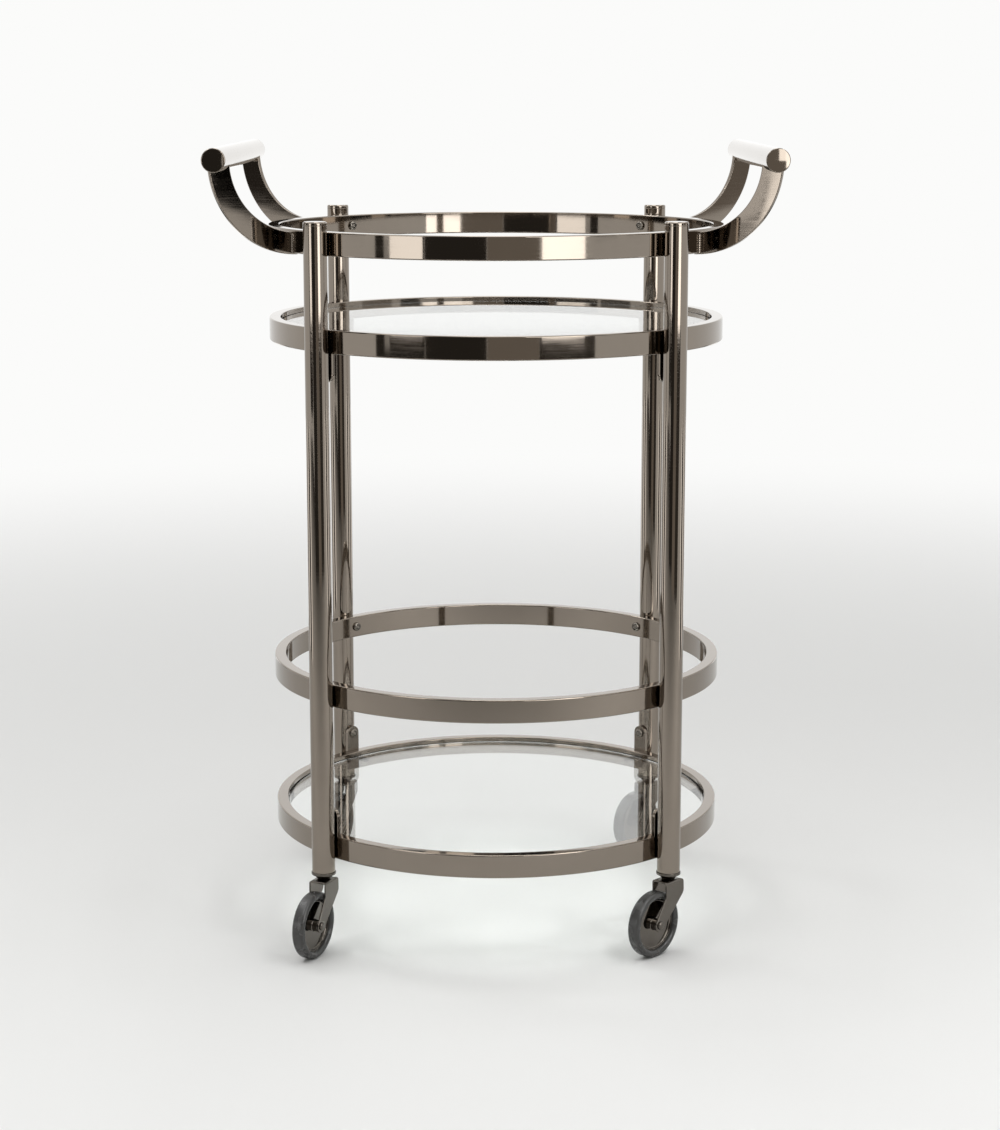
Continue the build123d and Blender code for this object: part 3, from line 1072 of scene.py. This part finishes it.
@dataclass(frozen=True)
class Lamp:
    """Soft box: place, aim, width and height in metres, power in watts and spread in degrees.

    One for the metal leaves the floor and the glass as they are.
    """

    name: str
    place: Sequence[float]
    aim: Sequence[float]
    width: float
    height: float
    power: float
    spread: float = 180.0
    for_metal: bool = False

    @classmethod
    def upright(
        cls, name: str, bearing: float, distance: float, width: float, foot: float, top: float, power: float
    ) -> "Lamp":
        """Soft box that faces the cart at a bearing, its edges at the heights foot and top."""
        place, aim = (around(bearing, reach, (foot + top) / 2) for reach in (distance, 0.0))
        return cls(name, place, aim, width, top - foot, power, for_metal=True)

    def build(self, metal: bpy.types.Collection) -> None:
        """Hang the lamp where no view shows it.

        Args:
            metal: pieces that a lamp for the metal lights.
        """
        data = bpy.data.lights.new(self.name, "AREA")
        data.shape = "RECTANGLE"
        data.size, data.size_y = self.width, self.height
        data.energy = self.power
        data.spread = math.radians(self.spread)
        lamp = bpy.data.objects.new(self.name, data)
        lamp.location = self.place
        lamp.rotation_euler = (Vector(self.aim) - Vector(self.place)).to_track_quat("-Z", "Y").to_euler()
        lamp.visible_camera = False
        if self.for_metal:
            lamp.light_linking.receiver_collection = metal
        bpy.context.scene.collection.objects.link(lamp)


def felt(name: str, colour: str, glow: float) -> Material:
    """Make dull felt or lit cloth. It shows by a light of its own, which leaves no grain in the metal.

    Args:
        name: name of the piece that it covers.
        colour: its colour.
        glow: strength of its light.

    Returns:
        The material.
    """
    material, tree = new_material(f"{name}_felt")
    shader = add_node(tree, "Emission", {"Color": linear(colour), "Strength": glow})
    add_node(tree, "OutputMaterial", {"Surface": shader.outputs["Emission"]})
    return material


@dataclass(frozen=True)
class Card:
    """Upright felt card at a bearing from the camera, which the metal mirrors and no view shows."""

    name: str
    bearing: float
    distance: float
    width: float
    foot: float
    top: float
    colour: str
    glow: float = 0.75

    def build(self) -> None:
        """Stand the card with its face to the cart."""
        half = self.width / 2
        edges = ((-half, self.foot), (half, self.foot), (half, self.top), (-half, self.top))
        corners = [around(self.bearing, self.distance, height, aside) for aside, height in edges]
        lay_sheet(self.name, corners, felt(self.name, self.colour, self.glow))


@dataclass(frozen=True)
class Mat:
    """Felt or lit mat on the floor between two bearings, which the metal mirrors and no view shows."""

    name: str
    start: float
    end: float
    colour: str
    glow: float
    near: float = 1.64
    far: float = 4.4
    height: float = 0.006

    def build(self) -> None:
        """Lay the mat face up."""
        edges = ((self.start, self.near), (self.start, self.far), (self.end, self.far), (self.end, self.near))
        corners = [around(angle, reach, self.height) for angle, reach in edges]
        lay_sheet(self.name, corners, felt(self.name, self.colour, self.glow))


@dataclass
class Studio:
    """Round pale sweep, soft boxes, cards, mats and the camera."""

    sweep_radius: float = 6.5
    sweep_curve: float = 2.2
    sweep_height: float = 5.0
    sweep_turns: int = 96
    curve_steps: int = 16
    sweep_colour: str = "#EBEBEA"
    backdrop_colour: str = "#FBFBFA"
    backdrop_start: float = 0.8
    backdrop_full: float = 3.6
    runner_corners: Sequence[Sequence[float]] = ((-4.2, -3.0), (1.7, 0.9))
    runner_height: float = 0.003
    # Colour of the painted shade that the runner takes on towards the camera.
    runner_colour: str = "#3F3D3A"
    shade_slope: Sequence[float] = (-0.1, -1.0, 0.0)
    shade_start: float = 0.6
    shade_end: float = 2.8
    sky_strength: float = 0.6
    camera_place: Sequence[float] = (0.00438, -2.82347, 0.93935)
    camera_pitch: float = 10.8759
    focal_pixels: float = 2498.75
    picture_height: int = 1130
    sensor: float = 36.0
    clip_end: float = 100.0

    def build(self) -> None:
        """Set up the whole studio."""
        metal = self.unglazed()
        self.sweep()
        self.sky()
        for lamp in self.lamps():
            lamp.build(metal)
        for item in [*self.cards(), *self.mats()]:
            item.build()
        self.runner()
        self.camera()
        bpy.context.scene.view_settings.view_transform = "Standard"

    def unglazed(self) -> bpy.types.Collection:
        """Gather the pieces of the cart that aren't glass.

        Returns:
            Collection of the pieces.
        """
        pieces = bpy.data.collections.new("unglazed_pieces")
        for item in bpy.context.scene.objects:
            if item.type == "MESH" and not item.data.materials[0].name.startswith(Slot.GLASS.value):
                pieces.objects.link(item)
        return pieces

    def lamps(self) -> list[Lamp]:
        """Soft boxes: overhead, over the floor, beside the camera and behind the cart.

        Returns:
            The lamps.
        """
        return [
            Lamp("left_ceiling_box", (-1.6, 0.4, 2.9), (-1.6, 0.4, 0.0), 0.45, 2.6, 12.0),
            Lamp("middle_ceiling_box", (0.0, 0.4, 2.9), (0.0, 0.4, 0.0), 0.7, 2.2, 14.0),
            Lamp("right_ceiling_box", (1.6, 0.4, 2.9), (1.6, 0.4, 0.0), 0.45, 2.6, 12.0),
            Lamp("left_spot", (-2.1, 1.3, 2.9), (0.0, 0.0, 0.3), 0.4, 0.4, 6.0),
            Lamp("left_floor_box", (-1.2, -1.1, 2.0), (-1.2, -1.1, 0.0), 0.6, 0.6, 4.6, 100.0),
            Lamp("right_floor_box", (1.2, -1.15, 2.0), (1.2, -1.15, 0.0), 0.6, 0.6, 6.8, 100.0),
            Lamp.upright("left_box", -43.5, 4.5, 1.34, 0.30, 1.8, 19.0),
            Lamp.upright("left_wing_low", -53.6, 4.5, 0.22, 0.22, 0.56, 0.14),
            Lamp.upright("left_wing_high", -53.6, 4.5, 0.22, 0.56, 1.8, 1.1),
            Lamp.upright("right_low_box", 31.3, 2.05, 0.74, 0.51, 0.80, 2.5),
            Lamp.upright("right_high_box", 29.0, 2.05, 1.1, 0.80, 2.0, 14.0),
            Lamp.upright("rear_box", 180.0, 5.2, 6.0, 0.3, 3.4, 14.0),
        ]

    def cards(self) -> list[Card]:
        """Felt round the camera and beside the cart, as a studio has it.

        Returns:
            The cards.
        """
        return [
            Card("left_drape", -47.0, 4.6, 2.1, 0.0, 2.6, "#4A4743"),
            Card("camera_drape", -18.6, 2.3, 1.18, 0.0, 2.4, "#4A4743"),
            Card("camera_screen", 8.0, 2.15, 0.91, 0.0, 2.4, "#B8B0A7"),
            Card("right_skirt", 33.5, 2.15, 1.03, 0.0, 0.51, "#5A5651"),
            Card("right_flag", 52.0, 2.1, 0.45, 0.70, 2.4, "#171614"),
            Card("right_side_flag", 74.0, 2.1, 0.76, 0.70, 2.4, "#B3ABA2"),
            Card("left_side_flag", -74.0, 2.1, 0.76, 0.70, 2.4, "#4A4642"),
        ]

    def mats(self) -> list[Mat]:
        """Dark and lit mats on the floor beside the cart and behind it, so that its metal has life there.

        Returns:
            The mats.
        """
        dark, lit = ("#3F3D3A", 0.75), ("#FFFFFF", 2.2)
        mats = [Mat("rear_mat", 172.0, 188.0, *dark)]
        for side in Side:
            for name, start, end, look in (
                ("front_lit", 73.0, 82.0, lit),
                ("side", 82.0, 98.0, dark),
                ("side_lit", 98.0, 107.0, lit),
                ("corner", 128.0, 134.0, dark),
                ("rear_lit", 140.0, 152.0, lit),
            ):
                mats.append(Mat(f"{side.label}_{name}_mat", side.value * start, side.value * end, *look))
        return mats

    def runner(self) -> None:
        """Lay paper round the cart, seen only in the metal, with painted shade that darkens it towards the
        camera where the light falls off.
        """
        (left, near), (right, far) = self.runner_corners
        edges = ((left, near), (right, near), (right, far), (left, far))
        corners = [(x, y, self.runner_height) for x, y in edges]
        lay_sheet("runner", corners, self.paper("shaded_paper", self.runner_colour))

    def sweep(self) -> None:
        """Turn the floor and its wall in one piece, with a wide curve between."""
        rim, top, curve = self.sweep_radius / MM, self.sweep_height / MM, self.sweep_curve / MM
        section = oblong(0.0, rim, 0.0, top, (0.0, curve, 0.0, 0.0))
        bm = turned(section, self.sweep_turns, self.curve_steps)
        lid = [f for f in bm.faces if all(abs(v.co.z - self.sweep_height) < SAME_POINT for v in f.verts)]
        bmesh.ops.delete(bm, geom=lid, context="FACES")
        bmesh.ops.reverse_faces(bm, faces=bm.faces[:])
        item = new_object(bm, "sweep", self.paper("matt_paper"))
        item.data.shade_smooth()

    def paper(self, name: str, shade: str = "") -> Material:
        """Matt paper that goes over into a plain white backdrop away from the cart.

        The white shows to the camera, in the metal and through the glass, and lights nothing.

        Args:
            name: name of the material.
            shade: colour of the painted shade that the paper takes on towards the camera, or nothing.

        Returns:
            The material.
        """
        material, tree = new_material(name)
        place = add_node(tree, "TexCoord").outputs["Object"]
        away = add_node(tree, "VectorMath", (place,), operation="LENGTH").outputs["Value"]
        ends = (away, self.backdrop_start, self.backdrop_full)
        fade = add_node(tree, "MapRange", ends, interpolation_type="SMOOTHSTEP").outputs["Result"]
        share = add_node(tree, "Math", (fade, seen_ray(tree)), operation="MULTIPLY").outputs["Value"]
        tints: list[Any] = [linear(self.sweep_colour), linear(self.backdrop_colour)]
        # Painted shade: the paper darkens towards the camera in place of the light that falls off there.
        if shade:
            slope = (place, self.shade_slope)
            ahead = add_node(tree, "VectorMath", slope, operation="DOT_PRODUCT").outputs["Value"]
            falloff = add_node(tree, "MapRange", (ahead, self.shade_start, self.shade_end)).outputs["Result"]
            mixes = [{"Factor": falloff, "A": tint, "B": linear(shade)} for tint in tints]
            tints = [add_node(tree, "Mix", mix, data_type="RGBA").outputs["Result"] for mix in mixes]
        look = {"Base Color": tints[0], "Roughness": 1.0, "Specular IOR Level": 0.0}
        matt = add_node(tree, "BsdfPrincipled", look).outputs["BSDF"]
        white = add_node(tree, "Emission", {"Color": tints[1], "Strength": 1.0}).outputs["Emission"]
        both = add_node(tree, "MixShader", (share, matt, white))
        add_node(tree, "OutputMaterial", {"Surface": both.outputs["Shader"]})
        return material

    def sky(self) -> None:
        """Give the open top of the sweep a plain pale light, white to the eye like the backdrop."""
        world = bpy.data.worlds.new("studio_air")
        world.use_nodes = True
        tree = world.node_tree
        tree.nodes.clear()
        glow = {"Value": seen_ray(tree), "To Min": self.sky_strength}
        strength = add_node(tree, "MapRange", glow).outputs["Result"]
        light = {"Color": linear(self.backdrop_colour), "Strength": strength}
        air = add_node(tree, "Background", light).outputs["Background"]
        add_node(tree, "OutputWorld", {"Surface": air})
        bpy.context.scene.world = world

    def camera(self) -> None:
        """Stand the camera where the photograph was taken."""
        data = bpy.data.cameras.new("camera")
        data.sensor_width = self.sensor
        data.lens = self.focal_pixels / self.picture_height * self.sensor
        data.clip_end = self.clip_end
        camera = bpy.data.objects.new("camera", data)
        camera.location = self.camera_place
        camera.rotation_euler = (QUARTER_TURN - math.radians(self.camera_pitch), 0.0, 0.0)
        bpy.context.scene.collection.objects.link(camera)
        bpy.context.scene.camera = camera


def main() -> None:
    """Build the cart and its studio."""
    logging.basicConfig(level=logging.INFO, format="%(name)s: %(message)s")
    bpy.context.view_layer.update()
    shop = Workshop()
    for node in ("top_rail", "upper_shelf_ring", "lower_rail", "bottom_shelf_ring"):
        Hoop(shop, node).build()
    Shelf(shop, "upper", tabs_up=False).build()
    Shelf(shop, "bottom", tabs_up=True).build()
    for node in ("top_rail_screws", "upper_shelf_screws", "lower_rail_screws", "bottom_shelf_screws"):
        ScrewSet(shop, node).build()
    Posts(shop).build()
    for side in Side:
        Handle(shop, side).build()
    BarCaps(shop).build()
    shop.dress("caster_sockets", Slot.ZINC)
    for corner in Corner:
        Caster(shop, corner).build()
    Studio().build()


if __name__ == "__main__":
    main()
